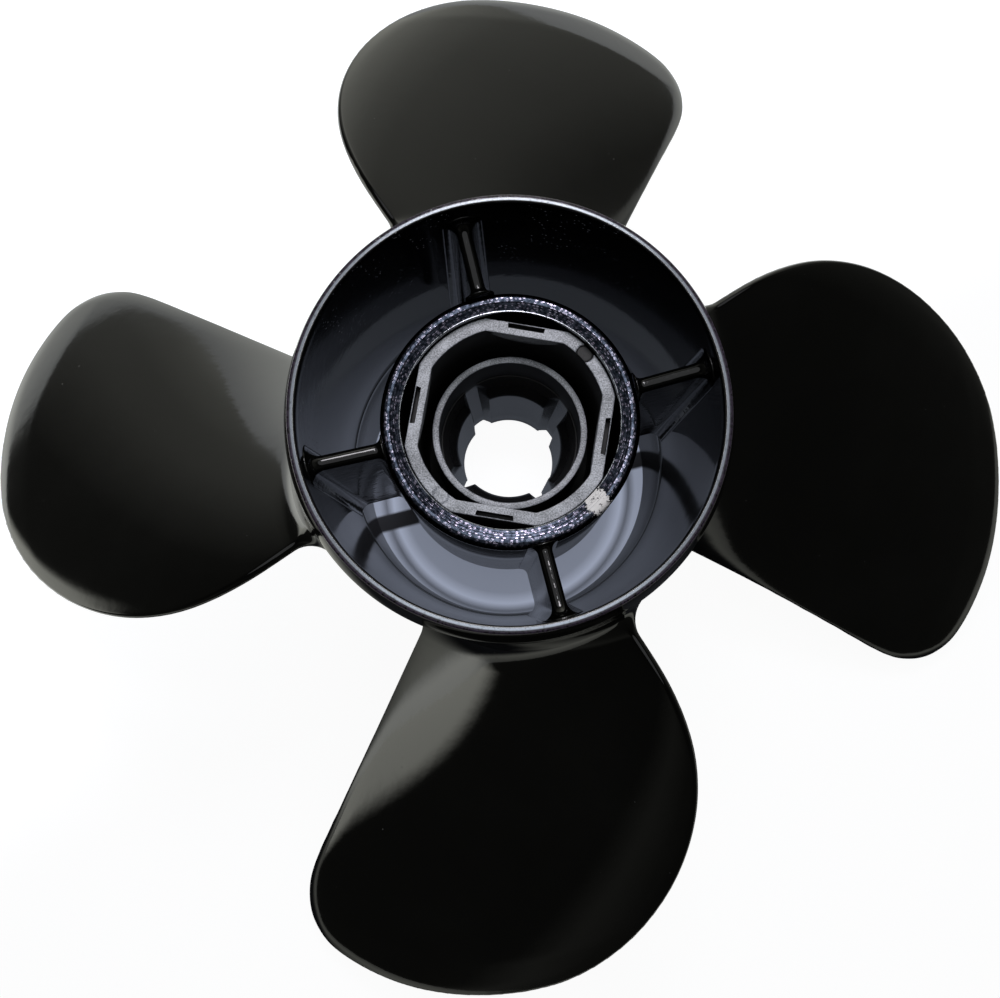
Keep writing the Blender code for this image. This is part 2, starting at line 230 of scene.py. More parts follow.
def eased(corners, steps=5):
    """A closed profile of (radius, depth) from corners of (radius, depth, rounding)."""
    profile = []
    count = len(corners)
    for i, (radius, depth, rounding) in enumerate(corners):
        here = np.array((radius, depth), float)
        if rounding == 0:
            profile.append(here)
            continue
        back = np.array(corners[i - 1][:2]) - here
        ahead = np.array(corners[(i + 1) % count][:2]) - here
        back /= np.linalg.norm(back)
        ahead /= np.linalg.norm(ahead)
        half = math.acos(np.clip(back.dot(ahead), -1.0, 1.0)) / 2
        reach = rounding / math.tan(half)
        centre = here + (back + ahead) / np.linalg.norm(back + ahead) * rounding / math.sin(half)
        start = here + back * reach - centre
        end = here + ahead * reach - centre
        sweep = math.pi - 2 * half
        for share in np.linspace(0.0, 1.0, steps):
            spoke = start * math.sin((1 - share) * sweep) + end * math.sin(share * sweep)
            profile.append(centre + spoke / np.linalg.norm(spoke) * rounding)
    return np.array(profile)


def turned(profile, sides):
    """Points and faces of a closed profile of (radius, depth), turned round the axis."""
    angles = np.arange(sides) * 360.0 / sides
    points = around(profile[:, :1], angles[None], up(profile[:, 1:]))
    return points.reshape(-1, 3), skin(len(profile), sides, closed=True)


def barrel_outer(depth):
    """Outer radius: a swell behind the rim, a long taper to the waist and a flared rear."""
    depth = np.asarray(depth, float)
    front = blend(WIDEST, RIM_OUTER, (1.0 - depth / WIDEST_DEPTH) ** 2)
    taper = blend(WIDEST, WAIST, ease((depth - WIDEST_DEPTH) / (WAIST_DEPTH - WIDEST_DEPTH)))
    share = (depth - WAIST_DEPTH) / (BARREL_LENGTH - WAIST_DEPTH)
    rear = blend(WAIST, REAR_OUTER, share ** 2)
    return np.where(depth < WIDEST_DEPTH, front, np.where(depth < WAIST_DEPTH, taper, rear))


def barrel_inner(depth):
    """Inner radius, which narrows evenly to the seam and more slowly behind it."""
    depth = np.asarray(depth, float)
    front = blend(RIM_INNER, SEAM_INNER, depth / SEAM_DEPTH)
    share = (depth - SEAM_DEPTH) / (BARREL_LENGTH - SEAM_DEPTH)
    return np.where(depth < SEAM_DEPTH, front, blend(SEAM_INNER, REAR_INNER, share))


def make_barrel(paint):
    """The barrel in one, with its domed rim and the fine core seam on its inner wall."""
    crown = np.arange(RIM_CROWN - 0.15, RIM_OUTER - 0.3, 0.2)
    outside = np.r_[np.arange(1.4, WIDEST_DEPTH, 1.2),
                    np.arange(WIDEST_DEPTH, BARREL_LENGTH - 2.0, RING_STEP)]
    behind_seam = np.arange(BARREL_LENGTH - 3.0, SEAM_DEPTH + 0.6, -RING_STEP)
    before_seam = np.arange(SEAM_DEPTH - 1.2, 1.5, -RING_STEP)
    seam = SEAM_INNER - SEAM_STEP
    corners = [(radius, (radius - RIM_CROWN) ** 2 / (2 * RIM_DOME), 0) for radius in crown]
    corners.append((RIM_OUTER, 0.38, 0.3))
    corners += [(barrel_outer(depth), depth, 0) for depth in outside]
    corners += [(REAR_OUTER, BARREL_LENGTH, 1.4), (REAR_INNER, BARREL_LENGTH, 0.9)]
    corners += [(barrel_inner(depth), depth, 0) for depth in behind_seam]
    corners += [(seam + 0.1, SEAM_DEPTH + 0.45, 0), (seam, SEAM_DEPTH + 0.25, 0),
                (seam, SEAM_DEPTH - 0.25, 0), (seam + 0.18, SEAM_DEPTH - 0.5, 0)]
    corners += [(barrel_inner(depth), depth, 0) for depth in before_seam]
    corners.append((RIM_INNER - 0.1, 0.16, 0.55))
    points, faces = turned(eased(corners), 288)
    piece("barrel_casting", points, faces, paint, "black_paint", "barrel", "rear_ring", crease=40)


def make_hub(paint, bare):
    """The painted hub and the bare turned ring on its front, with its tool grooves."""
    front = HUB_FACE_DEPTH + HUB_FACE_THICKNESS
    corners = [
        (HUB, front, 0.1), (HUB_BACK, HUB_BACK_DEPTH, 1.5), (SHOULDER, HUB_BACK_DEPTH, 0.8),
        (SHOULDER, SHOULDER_DEPTH, 0.3), (HUB_BORE, SHOULDER_DEPTH, 0.3), (HUB_BORE, front, 0.1)]
    points, faces = turned(eased(corners), 192)
    piece("hub_casting", points, faces, paint, "black_paint", "inner_hub", crease=40)
    tool_marks = []
    for radius in np.arange(HUB_BORE + 0.5, HUB - HUB_CHAMFER - TOOL_PITCH, TOOL_PITCH):
        tool_marks += [(radius, HUB_FACE_DEPTH + TOOL_SLOPE * TOOL_PITCH, 0),
                       (radius + 0.8 * TOOL_PITCH, HUB_FACE_DEPTH, 0)]
    shoulder = []
    for share in np.arange(0.1, 0.95, 0.1):
        fall = HUB_CHAMFER * (1 - math.sqrt(1 - share ** 2))
        shoulder.append((HUB - HUB_CHAMFER * (1 - share), HUB_FACE_DEPTH + fall, 0))
    corners = [(HUB, front, 0.1), (HUB_BORE, front, 0.1), (HUB_BORE, HUB_FACE_DEPTH, 0.25)]
    corners += tool_marks + shoulder + [(HUB, HUB_FACE_DEPTH + HUB_CHAMFER, 0)]
    points, faces = turned(eased(corners), 288)
    piece("turned_hub_face", points, faces, bare, "machined_face", "hub_face", crease=22)


def make_webs(paint):
    """Four webs from hub to barrel, with round edges and tangent fillets at both ends."""
    foot = 1.0 - np.cos(np.radians(np.arange(0, 91, 10)))
    layers = []
    for thickness, edge, way, slant in (
        (WEB_FRONT_THICK, WEB_FRONT, 1.0, WEB_SLANT), (WEB_BACK_THICK, WEB_BACK, -1.0, 0.0),
    ):
        rounds = []
        for turn in np.radians(np.arange(6, 91, 7)):
            depth = edge + way * thickness / 2 * (1 - math.cos(turn))
            wall = float(barrel_inner(depth))
            low = HUB + np.r_[-0.4, WEB_HUB_FILLET * foot]
            high = wall - np.r_[-0.4, WEB_WALL_FILLET * foot]
            radii = np.r_[low, np.linspace(low[-1], high[-1], 10)[1:-1], high[::-1]]
            corner = np.maximum(
                fillet(radii - HUB, WEB_HUB_FILLET), fillet(wall - radii, WEB_WALL_FILLET))
            half = (thickness / 2 + corner) * math.sin(turn)
            inward = thickness / 2 - (thickness / 2 + corner) * math.cos(turn)
            height = up(edge + way * inward + slant * (wall - radii))
            side = np.stack((half, np.sqrt(radii ** 2 - half ** 2), height), -1)
            other = side * (-1, 1, 1)
            rounds.append(np.concatenate((side, other[::-1])))
        layers += rounds if way > 0 else rounds[::-1]
    grid = np.array(layers) * MM
    count = grid.shape[1]
    faces = skin(len(grid), count)
    for base in (0, (len(grid) - 1) * count):
        faces += [[base + i, base + i + 1, base + count - 2 - i, base + count - 1 - i]
                  for i in range(count // 2 - 1)]
    points = grid.reshape(-1, 3)
    for k, turn in four_turns(WEB_ANGLE):
        piece(f"web_{k}", points @ turn, faces, paint, "black_paint", f"rib_{k}")


def smooth_curve(points, positions):
    """Points on the smooth curve through all the given ones, position 0 at the first."""
    last = len(points) - 1
    index = np.minimum(positions.astype(int), last - 1)
    share = (positions - index)[..., None]
    before, start, end, after = (points[np.clip(index + k, 0, last)] for k in (-1, 0, 1, 2))
    return (
        start * (2 * share ** 3 - 3 * share ** 2 + 1)
        + (end - before) / 2 * (share ** 3 - 2 * share ** 2 + share)
        + end * (3 * share ** 2 - 2 * share ** 3)
        + (after - start) / 2 * (share ** 3 - share ** 2)
    )


def blade_place(chord, span):
    """Radius and angle on the blade: chord 0 at the leading edge, span 1 at the tip."""
    last = len(OUTLINE) - 1
    leading = smooth_curve(OUTLINE, TIP_STARTS * span)
    trailing = smooth_curve(OUTLINE, last - (last - TIP_ENDS) * span)
    tip = smooth_curve(OUTLINE, blend(TIP_STARTS, TIP_ENDS, chord))
    ends = smooth_curve(OUTLINE, np.array((TIP_STARTS, TIP_ENDS)))
    share = chord[..., None]
    place = blend(leading, trailing, share)
    place += (tip - blend(ends[0], ends[1], share)) * span[..., None]
    return place[..., 0], place[..., 1]


def blade_depth(radius, angle):
    """Depth of the blade's middle face: a helix of the pitch, raked back more toward the tip."""
    out = radius - RAKE_START
    return BLADE_MIDDLE_DEPTH + PITCH * angle / 360.0 + RAKE * out + RAKE_GAIN * out ** 2


def blade_middle(radius, angle):
    """Points in millimetres on the blade's middle face."""
    return around(radius, angle, up(blade_depth(radius, angle))) / MM


def blade_rows():
    """Chord and span of every point of a skin, its first rows up a fillet on the barrel.

    Also the fillet's heights and widths, and the other rows' shares of the way to the tip.
    """
    chords = np.r_[FINE, np.linspace(FINE[-1], 1 - FINE[-1], 58)[1:-1], 1 - FINE[::-1]]
    spans = np.linspace(0.0, 1.0, 301)
    radius, angle = blade_place(*np.meshgrid(chords, spans, indexing="ij"))
    above = radius - barrel_outer(blade_depth(radius, angle))
    arcs = np.radians(np.arange(0, 91, 9))
    heights = np.r_[-ROOT_SUNK, ROOT_FILLET * (1 - np.cos(arcs))]
    widths = np.r_[ROOT_FILLET, ROOT_FILLET * (1 - np.sin(arcs))]
    root_rows = np.array([np.interp(heights, above[i], spans) for i in range(len(chords))])
    toward_tip = np.r_[np.linspace(0.0, 1 - FINE[-1], 56)[1:], 1 - FINE[::-1][1:]]
    rows = np.concatenate((root_rows, blend(root_rows[:, -1:], 1.0, toward_tip[None])), 1)
    return np.broadcast_to(chords[:, None], rows.shape), rows, heights, widths, toward_tip


def edge_distance(points):
    """How far each point of the middle face is from the blade's edge, 0 on the edge itself."""
    edge = smooth_curve(OUTLINE, np.linspace(0.0, len(OUTLINE) - 1.0, 1400))
    edge = blade_middle(edge[:, 0], edge[:, 1])
    distance = np.concatenate([
        np.linalg.norm(part[:, None] - edge[None], axis=-1).min(1)
        for part in np.array_split(points.reshape(-1, 3), 12)]).reshape(points.shape[:2])
    distance[0] = 0.0
    distance[-1] = 0.0
    distance[:, -1] = 0.0
    return distance


def blade_skins(chords, rows):
    """The front and back skins of one blade as grids of points in millimetres."""
    radius, angle = blade_place(chords, rows)
    middle = blade_middle(radius, angle)
    outward = blade_middle(radius + 0.1, angle) - middle
    along = blade_middle(radius, angle + 0.1) - middle
    normal = np.cross(along, outward)
    normal /= np.linalg.norm(normal, axis=-1, keepdims=True)
    distance = edge_distance(middle)
    near = np.clip(distance / EDGE_WIDTH, 0.0, 1.0)
    nose = EDGE_ROUND * np.sqrt(1.0 - (1.0 - near) ** 2)
    reach = np.clip((radius - WIDEST) / (TIP - WIDEST), 0.0, 1.0)
    full = blend(ROOT_THICK, TIP_THICK, reach ** 0.8) - 2 * EDGE_ROUND
    belly = full * (4.0 * chords * (1.0 - chords)) ** 0.75
    belly *= np.minimum(1.0, (1.0 - rows) / BELLY_FADE) ** 0.8
    cup = CUP * np.clip(1.0 - (1.0 - chords) / CUP_SHARE, 0.0, 1.0) ** 2
    cup *= np.minimum(1.0, 2 * rows)
    roll = ROLL_DROP * np.clip(1.0 - distance / ROLL_WIDTH, 0.0, 1.0) ** 2
    roll *= ease((reach - ROLL_STARTS) / (ROLL_FULL - ROLL_STARTS)) * near
    front = middle + normal * (nose + FRONT_SHARE * belly - roll - cup)[..., None]
    back = middle - normal * (nose + (1.0 - FRONT_SHARE) * belly + cup)[..., None]
    return front, back


def flare_root(front, back, heights, widths, toward_tip):
    """Spread the blade's root rows into a fillet that runs smoothly into the barrel."""
    count = front.shape[0]
    for j in range(front.shape[1]):
        loop = np.concatenate((front[:, j], back[1:-1, j][::-1]))
        radius = np.hypot(loop[:, 0], loop[:, 1])
        angle = np.arctan2(loop[:, 0], loop[:, 1])
        depth = BARREL_LENGTH - loop[:, 2]
        if j < len(heights):
            flat = np.stack((angle * RAKE_START, depth), -1)
            ahead = np.roll(flat, -1, 0)
            along = ahead - np.roll(flat, 1, 0)
            outward = np.stack((along[:, 1], -along[:, 0]), -1)
            outward /= np.linalg.norm(outward, axis=1, keepdims=True)
            area = np.sum(flat[:, 0] * ahead[:, 1] - ahead[:, 0] * flat[:, 1])
            flat = flat + outward * widths[j] * np.sign(area)
            angle = flat[:, 0] / RAKE_START
            depth = flat[:, 1]
            lift = barrel_outer(depth) + heights[j] - radius
            radius = radius + lift
        else:
            radius = radius + lift * (1.0 - ease(toward_tip[j - len(heights)] / FLARE_SHARE))
        moved = np.stack((radius * np.sin(angle), radius * np.cos(angle), up(depth)), -1)
        front[:, j] = moved[:count]
        back[1:-1, j] = moved[count:][::-1]
        back[0, j] = front[0, j]
        back[-1, j] = front[-1, j]
    return front, back


def make_blades(paint):
    """Four blades whose two skins meet in a round edge and run into the barrel in a fillet."""
    chord_grid, span_grid, heights, widths, toward_tip = blade_rows()
    front, back = blade_skins(chord_grid, span_grid)
    front, back = flare_root(front, back, heights, widths, toward_tip)
    chords, rows = front.shape[:2]
    points = front.reshape(-1, 3).tolist()
    index_front = np.arange(chords * rows).reshape(chords, rows)
    index_back = index_front.copy()
    for i in range(1, chords - 1):
        for j in range(rows - 1):
            index_back[i, j] = len(points)
            points.append(back[i, j].tolist())
    faces = []
    for index in (index_front, index_back):
        corners = (index[:-1, :-1], index[1:, :-1], index[1:, 1:], index[:-1, 1:])
        faces += np.stack(corners, -1).reshape(-1, 4).tolist()
    for i in range(chords - 1):
        strip = [index_front[i, 0], index_front[i + 1, 0], index_back[i + 1, 0], index_back[i, 0]]
        faces.append(list(dict.fromkeys(strip)))
    points = np.array(points) * MM
    for k, turn in four_turns(BLADE_ANGLE):
        piece(f"blade_casting_{k}", points @ turn, faces, paint, "black_paint", f"blade_{k}")


def off_flat(angles):
    """How far each angle is from the middle of the nearest flat."""
    return (angles - INSERT_ANGLE + 45.0) % 90.0 - 45.0


def squared_round(radius, flat, angles):
    """Radius of a round with four flats, its corners slightly eased."""
    gap = radius - flat / np.cos(np.radians(off_flat(angles)))
    return radius - (gap + np.sqrt(gap ** 2 + CORNER_EASE ** 2)) / 2


def make_insert(moulding):
    """The moulded frame: four flats, a slot in each flat's middle and two ejector marks."""
    angles = np.arange(720) * 0.5
    off = off_flat(angles)
    outer = squared_round(INSERT, INSERT_FLAT, angles)
    inner = squared_round(POCKET, POCKET_FLAT, angles)
    floor = INSERT_BOTTOM - INSERT_FLOOR
    hole = TUBE - 0.2
    layers = [(hole, INSERT_BOTTOM)]
    layers += [(outer, depth) for depth in (INSERT_BOTTOM, 90.0, 60.0, 40.0, 30.0, 24.0)]
    shares = np.r_[0.0, 0.03, 0.08, np.linspace(0.10, 0.90, 27), 0.92, 0.97, 1.0]
    drops = np.r_[0.35, 0.1, 0.0, np.zeros(27), 0.0, 0.1, 0.35]
    for share, drop in zip(shares, drops):
        radius = blend(outer, inner, share)
        in_slot = (np.abs(off) < SLOT_HALF_ANGLE) & (SLOT_SHARES[0] < share < SLOT_SHARES[1])
        depth = INSERT_DEPTH + drop + np.where(in_slot, SLOT_DEPTH, 0.0)
        for mark, size, sink in EJECTOR_MARKS:
            place = around(radius, angles, 0.0) - around(EJECTOR_PLACE, mark, 0.0)
            away = np.linalg.norm(place, axis=-1) / MM
            groove = EJECTOR_GROOVE * np.exp(-((away - size) / EJECTOR_GROOVE_WIDTH) ** 2)
            depth = depth + groove + np.where(away < size, sink, 0.0)
        layers.append((radius, depth))
    wall = inner + 0.85 * (POCKET - inner)
    lug = LUG * np.cos(np.radians(np.clip(off / LUG_HALF_ANGLE, -1, 1) * 90.0))
    lip = INSERT_DEPTH + 0.6 + lug
    layers += [(inner, lip), (blend(inner, wall, 0.6), lip + 0.3), (wall, lip + 1.0), (wall, 40.0),
               (wall, floor - 1.0), (wall - 1.0, floor), (hole, floor)]
    grid = np.array([around(radius, angles, up(depth)) for radius, depth in layers])
    piece("moulded_frame", grid.reshape(-1, 3), skin(len(layers), len(angles), closed=True),
          moulding, "insert_moulding", "insert_frame", crease=35)


def bore_floor(depth):
    """Radius of the tube's bore between its lands, which narrows toward the rear."""
    return np.interp(depth, (NARROWS_FROM, NARROWS_TO), (TUBE_BORE, TUBE_BACK_BORE))


def make_tube(moulding):
    """The thin drive tube, its bore narrower in the rear half."""
    corners = [(TUBE, TUBE_DEPTH, 0.45), (TUBE, TUBE_BACK, 0.4), (TUBE_BORE, TUBE_BACK, 0.2),
               (TUBE_BORE, TUBE_BACK - 0.6, 0), (TUBE_BACK_BORE, TUBE_BACK - 0.6, 0.3)]
    corners += [(bore_floor(depth), depth, 0) for depth in (NARROWS_TO, NARROWS_FROM)]
    points, faces = turned(eased(corners + [(TUBE_BORE, TUBE_DEPTH, 0.45)]), 192)
    piece("moulded_tube", points, faces, moulding, "insert_moulding", "drive_tube", crease=40)


def make_lands(moulding):
    """Four lands that rise from the tube's bore in a long lead-in, with sloping sides."""
    full = LAND_DEPTH + LEAD_IN
    depths = np.r_[
        LAND_DEPTH, LAND_DEPTH + 0.3, np.linspace(LAND_DEPTH + 2, full, 5), full + 1,
        85.0, NARROWS_TO, TUBE_BACK - 1.0, TUBE_BACK - 0.3, TUBE_BACK]
    rings = []
    for depth in depths:
        outer = min(TUBE_BORE - 0.05, bore_floor(depth) + 0.3)
        inner = blend(LAND_FRONT, LAND_BACK, (depth - LAND_DEPTH) / (TUBE_BACK - LAND_DEPTH))
        inner += (outer - 0.4 - LAND_FRONT) * max(0.0, 1.0 - (depth - LAND_DEPTH) / LEAD_IN)
        inner += 0.6 * max(0.0, depth - TUBE_BACK + 0.6)
        risen = min(1.0, (outer - inner) / 2.0)
        round_off = 0.5 * risen
        foot = LAND_FOOT / 2
        top = blend(foot, LAND_SPAN / 2, risen)
        ring = [(outer, a) for a in np.linspace(-foot, foot, 25)]
        ring += [(blend(outer, inner, 0.3), blend(foot, top, 0.35)), (inner + round_off, top)]
        for turn in np.radians((30, 60, 90)):
            ring.append((inner + round_off * (1 - math.sin(turn)),
                         top - math.degrees(round_off * (1 - math.cos(turn)) / inner)))
        left = [(r, -a) for r, a in ring[25:]][::-1]
        edge = ring[-1][1]
        ring += [(inner, a) for a in np.linspace(edge, -edge, 23)[1:-1]]
        ring = np.array(ring + left)
        rings.append(around(ring[:, 0], ring[:, 1], up(depth)))
    grid = np.array(rings)
    layers, count = grid.shape[:2]
    faces = skin(layers, count)
    faces += [list(range(base, base + count)) for base in (0, (layers - 1) * count)]
    points = grid.reshape(-1, 3)
    for k, turn in four_turns(INSERT_ANGLE):
        piece(f"bore_strip_{k}", points @ turn, faces, moulding, "tube_moulding",
              f"bore_land_{k}", crease=40)


# Finishes

DEEP_BLACK = (0.0012, 0.0012, 0.0011)
HAZY_BLACK = (0.003, 0.003, 0.0028)
DUST_GREY = (0.22, 0.22, 0.225)
# Painted light on the rim: a purplish reflection round its edge and a highlight line on its crown
PURPLE_REFLECTION = (0.035, 0.026, 0.044)
RIM_HIGHLIGHT = (0.62, 0.70, 0.80)
DARK_METAL = (0.007, 0.009, 0.013)
GREY_METAL = (0.026, 0.031, 0.042)
# Painted glints on the turned face
PAINTED_GLINT = (0.42, 0.38, 0.48)
PALE_INNER_EDGE = (0.5, 0.52, 0.55)
PALE_MARK_WHITE = (0.80, 0.79, 0.78)
DARK_MOULDING = (0.006, 0.006, 0.0065)
FRAME_MOULDING = (0.02, 0.02, 0.021)
STRIP_MOULDING = (0.016, 0.016, 0.017)
# Pale end faces of the mouldings: partly wear, partly painted light
RUBBED_LIT_DARK = (0.14, 0.15, 0.165)
RUBBED_LIT_PALE = (0.56, 0.585, 0.64)
GRAIN_PIT = (0.05, 0.05, 0.055)

FLOOR_DIM = (0.03, 0.033, 0.04)
FLOOR_LIT = (0.42, 0.46, 0.56)
FLOOR_SHADE = (0.01, 0.01, 0.012)
FLOOR_WHITE = (0.95, 0.95, 0.95)
WEB_SHADOW = (0.006, 0.006, 0.007)
BORE_GLOW = (0.09, 0.10, 0.12)
WINDOW_GLOW = (1.25, 1.27, 1.12)
OUTER_GLOW = (0.72, 0.73, 0.66)
WEST_GLOW = (2.0, 2.02, 1.82)
NO_GLOW = (0.0, 0.0, 0.0)

# The glow in the passages: a bluish tint, and shares of the way outward with their brightness
POOL_TINT = (0.87, 0.97, 1.25)
POOL_TONES = ((0.0, 0.19), (0.45, 0.20), (0.65, 0.34), (0.79, 0.085), (0.92, 0.26), (1.0, 0.26))
POOL_CENTRE = -0.0046
POOL_START = 0.030
POOL_WIDTH = 0.020


class Wire:
    """A socket that carries a number, so that shader maths reads as plain sums."""

    def __init__(self, finish, socket):
        self.finish = finish
        self.socket = socket

    def maths(self, operation, *values):
        node = self.finish.node("ShaderNodeMath", {"operation": operation}, dict(enumerate(values)))
        return Wire(self.finish, node.outputs[0])

    def __add__(self, other):
        return self.maths("ADD", self, other)

    def __sub__(self, other):
        return self.maths("SUBTRACT", self, other)

    def __rsub__(self, other):
        return self.maths("SUBTRACT", other, self)

    def __mul__(self, other):
        return self.maths("MULTIPLY", self, other)

    def __truediv__(self, other):
        return self.maths("DIVIDE", self, other)

    def __pow__(self, other):
        return self.maths("POWER", self, other)

    def __abs__(self):
        return self.maths("ABSOLUTE", self)

    __radd__ = __add__
    __rmul__ = __mul__

    def most(self, other):
        return self.maths("MAXIMUM", self, other)

    def above(self, low, high):
        """0 below low, 1 above high and a smooth step from one to the other."""
        node = self.finish.node(
            "ShaderNodeMapRange", {"interpolation_type": "SMOOTHSTEP"},
            {"Value": self, "From Min": low, "From Max": high})
        return Wire(self.finish, node.outputs[0])

    def below(self, low, high):
        """1 below low, 0 above high and a smooth step from one to the other."""
        return 1.0 - self.above(low, high)


class Finish:
    """A procedural material and the one method that adds nodes to it."""

    def __init__(self, name, tree=None):
        if tree is None:
            self.material = bpy.data.materials.new(name)
            self.material.use_nodes = True
            tree = self.material.node_tree
        self.tree = tree
        self.tree.nodes.clear()

    def node(self, kind, settings=None, values=None):
        made = self.tree.nodes.new(kind)
        for setting, value in (settings or {}).items():
            if setting == "stops":
                ramp = made.color_ramp
                while len(ramp.elements) < len(value):
                    ramp.elements.new(1.0)
                for element, (position, colour) in zip(ramp.elements, value):
                    element.position = position
                    element.color = (*colour, 1.0)
            else:
                setattr(made, setting, value)
        for name, value in (values or {}).items():
            if isinstance(value, Wire):
                value = value.socket
            if isinstance(value, bpy.types.NodeSocket):
                self.tree.links.new(value, made.inputs[name])
            else:
                made.inputs[name].default_value = value
        return made

    def parts(self, vector):
        """The three coordinates of a vector."""
        split = self.node("ShaderNodeSeparateXYZ", None, {0: vector})
        return [Wire(self, split.outputs[i]) for i in range(3)]

    def place(self):
        """Where a point of the propeller is, in metres, and its three coordinates."""
        spot = self.node("ShaderNodeTexCoord").outputs["Object"]
        return spot, *self.parts(spot)

    def noise(self, spot, scale, detail=3.0, roughness=0.5):
        made = self.node("ShaderNodeTexNoise", None, {
            "Vector": spot, "Scale": scale, "Detail": detail, "Roughness": roughness})
        return Wire(self, made.outputs[0])

    def cells(self, spot, scale):
        """Distance from the middle of the nearest cell."""
        made = self.node("ShaderNodeTexVoronoi", None, {"Vector": spot, "Scale": scale})
        return Wire(self, made.outputs["Distance"])

    def mix(self, share, first, second):
        made = self.node("ShaderNodeMix", {"data_type": "RGBA"}, {0: share})
        sockets = [s for s in made.inputs if s.type == "RGBA"]
        for socket, value in zip(sockets, (first, second)):
            if isinstance(value, bpy.types.NodeSocket):
                self.tree.links.new(value, socket)
            else:
                socket.default_value = (*value, 1.0)
        return [s for s in made.outputs if s.type == "RGBA"][0]

    def bump(self, height, strength, distance):
        made = self.node("ShaderNodeBump", None, {
            "Height": height, "Strength": strength, "Distance": distance})
        return made.outputs[0]

    def close(self, **values):
        """End the tree in a Principled shader with these sockets."""
        named = {key.replace("_", " "): value for key, value in values.items()}
        shader = self.node("ShaderNodeBsdfPrincipled", None, named)
        output = self.node("ShaderNodeOutputMaterial")
        self.tree.links.new(shader.outputs[0], output.inputs[0])
        return self


def off_axis(x, y):
    """Distance from the axis."""
    return (x * x + y * y) ** 0.5


def rim_sheen_and_wear(finish, spot, x, y, z, colour):
    """Colour and wear of the rim: a painted purplish reflection round its edge and a painted
    highlight line on its crown, brighter at the top and bottom.
    """
    radius = off_axis(x, y)
    top = (z.above(up(1.3) * MM, up(0.3) * MM)
           * radius.above((RIM_INNER - 0.2) * MM, (RIM_INNER + 0.2) * MM))
    pits = finish.noise(spot, 1300.0, 3.0, 0.6)
    # Painted reflection: a speckled purplish band on the rim's outer edge
    edge = top * radius.above(61.0 * MM, 61.6 * MM)
    colour = finish.mix(edge * pits.above(0.3, 0.6), colour, PURPLE_REFLECTION)
    # Painted highlight: a pale line along the crown, brighter at the top and bottom
    crown = top * radius.above(60.7 * MM, 60.9 * MM) * radius.below(61.3 * MM, 61.7 * MM)
    brighter_top_and_bottom = abs(y).above(0.040, 0.058)
    painted_highlight = crown * (brighter_top_and_bottom * 0.6 + 0.4) * (pits.above(0.2, 0.5) * 0.6 + 0.4)
    return finish.mix(painted_highlight, colour, RIM_HIGHLIGHT), top * pits


def gloss_black(name, rim=False, lumps=0.0):
    """Gloss black paint with a little orange peel and fine dust, thicker by a rim."""
    finish = Finish(name)
    spot, x, y, z = finish.place()
    peel = finish.noise(spot, 260.0, 2.0)
    sag = finish.noise(spot, 28.0, 2.0)
    grit = finish.cells(spot, 620.0)
    sparse = finish.noise(spot, 95.0, 3.0, 0.6)
    dust = grit.below(0.05, 0.12) * sparse.above(0.66, 0.74)
    haze = finish.noise(spot, 14.0, 4.0, 0.6).above(0.35, 0.75)
    colour = finish.mix(haze, DEEP_BLACK, HAZY_BLACK)
    rough = 0.06 + haze * 0.05
    height = peel * (0.16 + lumps) + sag * 0.5
    if rim:
        # The rim gets its painted reflection and highlight, and wear that roughens and bumps it
        colour, wear = rim_sheen_and_wear(finish, spot, x, y, z, colour)
        rough = rough + wear * 0.14
        height = height + wear * 0.45
        by_rim = z.above(0.085, 0.140) * off_axis(x, y).above(50.0 * MM, 53.0 * MM)
        upper_left = (y - x * 0.7).above(0.0, 0.05)
        settled = grit.below(0.08, 0.20) * sparse.above(0.50, 0.62)
        dust = dust.most(settled * by_rim * upper_left)
    colour = finish.mix(dust, colour, DUST_GREY)
    return finish.close(
        Base_Color=colour, Roughness=rough + dust * 0.4, IOR=1.5,
        Normal=finish.bump(height + dust * 1.2, 0.25, 0.0004))


def turned_metal(name):
    """Dark turned metal: fine rings, dotted painted glints, a paler inner edge and a pale mark."""
    finish = Finish(name)
    spot, x, y, _ = finish.place()
    radius = off_axis(x, y)
    rings = Wire(finish, finish.node("ShaderNodeTexNoise", {"noise_dimensions": "1D"}, {
        "W": radius, "Scale": 3600.0, "Detail": 2.0}).outputs[0])
    pores = finish.cells(spot, 950.0)
    mottle = finish.noise(spot, 800.0, 3.0, 0.6)
    colour = finish.mix(mottle.above(0.4, 0.62), DARK_METAL, GREY_METAL)
    # Painted glints: pale dots where the ring grooves and pores meet
    painted_glints = rings.above(0.49, 0.58) * pores.below(0.25, 0.5)
    colour = finish.mix(painted_glints * 0.7, colour, PAINTED_GLINT)
    # A paler line along the inner edge of the turned face
    edge = radius.below((HUB_BORE + 0.25) * MM, (HUB_BORE + 0.45) * MM)
    colour = finish.mix(edge * mottle.above(0.35, 0.5) * 0.6, colour, PALE_INNER_EDGE)
    # A ragged pale mark on the turned face, rougher and not metallic
    away = off_axis(x - PALE_MARK[0] * MM, y - PALE_MARK[1] * MM)
    crumbs = finish.noise(spot, 1100.0, 3.0, 0.7)
    ragged = away + (crumbs - 0.5) * 0.007
    pale_mark = ragged.below(PALE_MARK_SIZE * 0.44 * MM, PALE_MARK_SIZE * 0.5 * MM) * crumbs.below(0.60, 0.66)
    colour = finish.mix(pale_mark, colour, PALE_MARK_WHITE)
    height = rings * 0.12 + mottle * 0.07 + pores * 0.12 + pale_mark * crumbs * 3.0
    return finish.close(
        Base_Color=colour, Roughness=0.10 + mottle * 0.12 + pale_mark * 0.4, Metallic=1.0 - pale_mark,
        Normal=finish.bump(height, 0.5, 0.00016))


